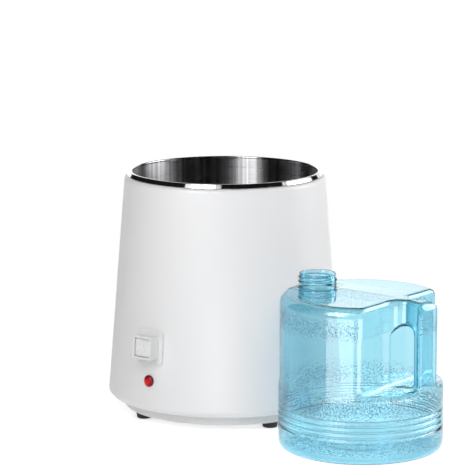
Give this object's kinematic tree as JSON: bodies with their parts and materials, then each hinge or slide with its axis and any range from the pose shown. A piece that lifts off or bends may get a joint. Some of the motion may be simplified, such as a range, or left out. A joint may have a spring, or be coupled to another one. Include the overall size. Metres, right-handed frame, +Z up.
{
  "type": "countertop water distiller",
  "caption": "Countertop water distiller base with an open stainless boiling chamber, push switch and lamp, beside its clear blue collecting jug with a handle and threaded neck.",
  "frame": {"origin": "on the table, under the middle of the pair's bounding box", "axes": "+Z up, +Y from the front of the base unit to its sockets at the back, +X to the right; the jug stands in front to the right"},
  "size_m": [0.3219, 0.3427, 0.238],
  "materials": {
    "white_painted_steel": "matt white powder coat",
    "white_moulded_plastic": "moulded white",
    "black_rubber": "matt black",
    "stainless_steel": "brushed inside, bright rim",
    "zinc_plated_steel": "zinc plated",
    "spring_steel": "plain spring steel",
    "element_sheath": "heat darkened sheath",
    "aluminium_plate": "rolled plate",
    "tinned_brass": "tinned",
    "glass_fibre_felt": "needled felt",
    "black_phenolic": "moulded phenolic",
    "black_nylon": "moulded nylon",
    "fuse_case": "drawn case",
    "red_acrylic": "glossy clear red",
    "clear_glass": "clear",
    "brown_wire": "silicone covered",
    "blue_wire": "silicone covered",
    "red_wire": "silicone covered",
    "green_wire": "silicone covered",
    "blue_clear_plastic": "clear light blue, glossy"
  },
  "bodies": {
    "base_unit": {"outer_housing": "white_painted_steel", "base_tray": "white_moulded_plastic", "rubber_feet": "black_rubber", "foot_screws": "zinc_plated_steel", "housing_screws": "zinc_plated_steel", "housing_nuts": "zinc_plated_steel", "boiling_chamber": "stainless_steel", "insulation_wrap": "glass_fibre_felt", "heater_plate": "aluminium_plate", "heater_clamp_ring": "zinc_plated_steel", "heating_element": "element_sheath", "element_terminals": "tinned_brass", "chamber_studs": "zinc_plated_steel", "stud_nuts": "zinc_plated_steel", "thermostat_spider": "spring_steel", "boil_dry_thermostat": "black_phenolic", "thermostat_terminals": "tinned_brass", "thermal_fuse": "fuse_case", "tie_rods": "zinc_plated_steel", "tie_rod_nuts": "zinc_plated_steel", "switch_housing": "white_moulded_plastic", "switch_body": "black_phenolic", "switch_spring": "spring_steel", "switch_terminals": "tinned_brass", "lamp_lens": "red_acrylic", "neon_bulb": "clear_glass", "lamp_nut": "black_nylon", "lamp_holder": "black_nylon", "socket_panel": "white_moulded_plastic", "power_inlet": "black_nylon", "fan_outlet": "black_nylon", "inlet_pins": "tinned_brass", "outlet_contacts": "tinned_brass", "socket_screws": "zinc_plated_steel", "live_wires": "brown_wire", "neutral_wires": "blue_wire", "lamp_wires": "red_wire", "earth_lugs": "tinned_brass", "earth_wires": "green_wire"},
    "push_button": {"switch_button": "white_moulded_plastic"},
    "jug": {"water_jug": "blue_clear_plastic"}
  },
  "joints": [
    {"name": "button_press", "type": "slide", "parent": "base_unit", "child": "push_button", "axis": [0.6205, 0.7801, -0.0799], "range_m": [0, 0.0025], "stiffness_N_per_m": 300, "springref_m": -0.002, "deforming": ["switch_spring"]},
    {"name": "jug_lift", "type": "slide", "parent": "base_unit", "child": "jug", "axis": [0, 0, 1], "range_m": [0, 0.3]}
  ]
}
